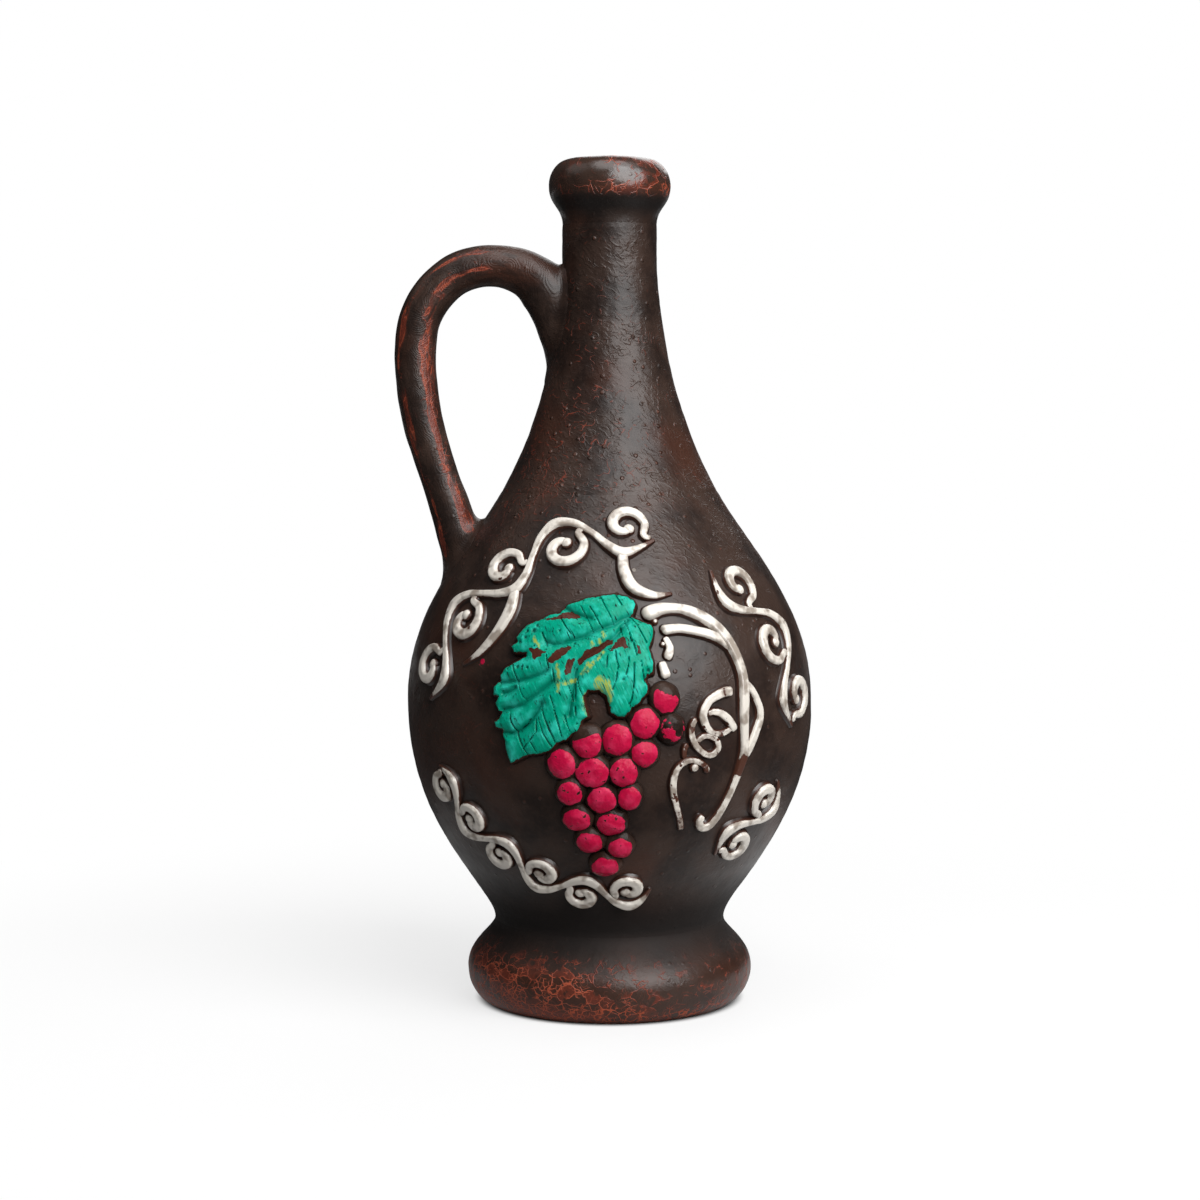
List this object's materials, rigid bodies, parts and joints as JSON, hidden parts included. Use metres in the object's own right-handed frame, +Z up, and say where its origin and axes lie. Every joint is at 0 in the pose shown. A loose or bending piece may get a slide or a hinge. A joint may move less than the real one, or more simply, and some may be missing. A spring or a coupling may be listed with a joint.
{
  "type": "clay wine bottle",
  "caption": "Handled clay wine bottle on a flared foot, with a collared mouth, a cork and raised vine leaf, grapes and scroll ornament.",
  "frame": {"origin": "centre of the flat underside of the foot", "axes": "+Z up along the bottle's axis, -Y towards the decorated front, -X towards the handle"},
  "size_m": [0.1188, 0.1184, 0.24],
  "materials": {
    "dark_clay": "burnished dark earthenware, satin, with fine tool marks",
    "collar_clay": "dark earthenware with a crackled brick-red rim",
    "handle_clay": "dark earthenware rubbed brick red along its sides",
    "leaf_paint": "teal paint on raised clay, worn along the veins",
    "grape_paint": "crimson paint on raised clay domes",
    "silver_paint": "glossy silver-white paint on raised clay strands",
    "cork": "natural cork, matt, with fine dark pores"
  },
  "bodies": {
    "vessel": {"foot": "dark_clay", "belly": "dark_clay", "neck": "dark_clay", "mouth_collar": "collar_clay", "handle": "handle_clay", "cane_upper": "silver_paint", "cane_lower": "silver_paint", "cane_side": "silver_paint", "grape_01": "grape_paint", "grape_02": "grape_paint", "grape_03": "grape_paint", "grape_04": "grape_paint", "grape_05": "grape_paint", "grape_06": "grape_paint", "grape_07": "grape_paint", "grape_08": "grape_paint", "grape_09": "grape_paint", "grape_10": "grape_paint", "grape_11": "grape_paint", "grape_12": "grape_paint", "grape_13": "grape_paint", "grape_14": "grape_paint", "grape_15": "grape_paint", "grape_16": "grape_paint", "grape_17": "grape_paint", "bunch_stalk_upper": "silver_paint", "bunch_stalk_lower": "silver_paint", "tendril_spiral": "silver_paint", "tendril_tail": "silver_paint", "vine_leaf": "leaf_paint", "scroll_stem_upper_right": "silver_paint", "scroll_curl_upper_right_1": "silver_paint", "scroll_curl_upper_right_2": "silver_paint", "scroll_curl_upper_right_3": "silver_paint", "scroll_stem_upper_left": "silver_paint", "scroll_curl_upper_left_1": "silver_paint", "scroll_curl_upper_left_2": "silver_paint", "scroll_curl_upper_left_3": "silver_paint", "scroll_curl_upper_left_4": "silver_paint", "scroll_curl_upper_left_5": "silver_paint", "scroll_stem_lower_left": "silver_paint", "scroll_curl_lower_left_1": "silver_paint", "scroll_curl_lower_left_2": "silver_paint", "scroll_curl_lower_left_3": "silver_paint", "scroll_curl_lower_left_4": "silver_paint", "scroll_curl_lower_left_5": "silver_paint", "scroll_curl_lower_left_6": "silver_paint", "scroll_stem_lower_right": "silver_paint", "scroll_curl_lower_right_1": "silver_paint", "scroll_curl_lower_right_2": "silver_paint", "free_tendril_1": "silver_paint", "free_tendril_2": "silver_paint"},
    "cork": {"cork": "cork"}
  },
  "joints": [
    {"name": "cork_pull", "type": "slide", "parent": "vessel", "child": "cork", "axis": [0, 0, 1], "range_m": [0, 0.05]}
  ]
}
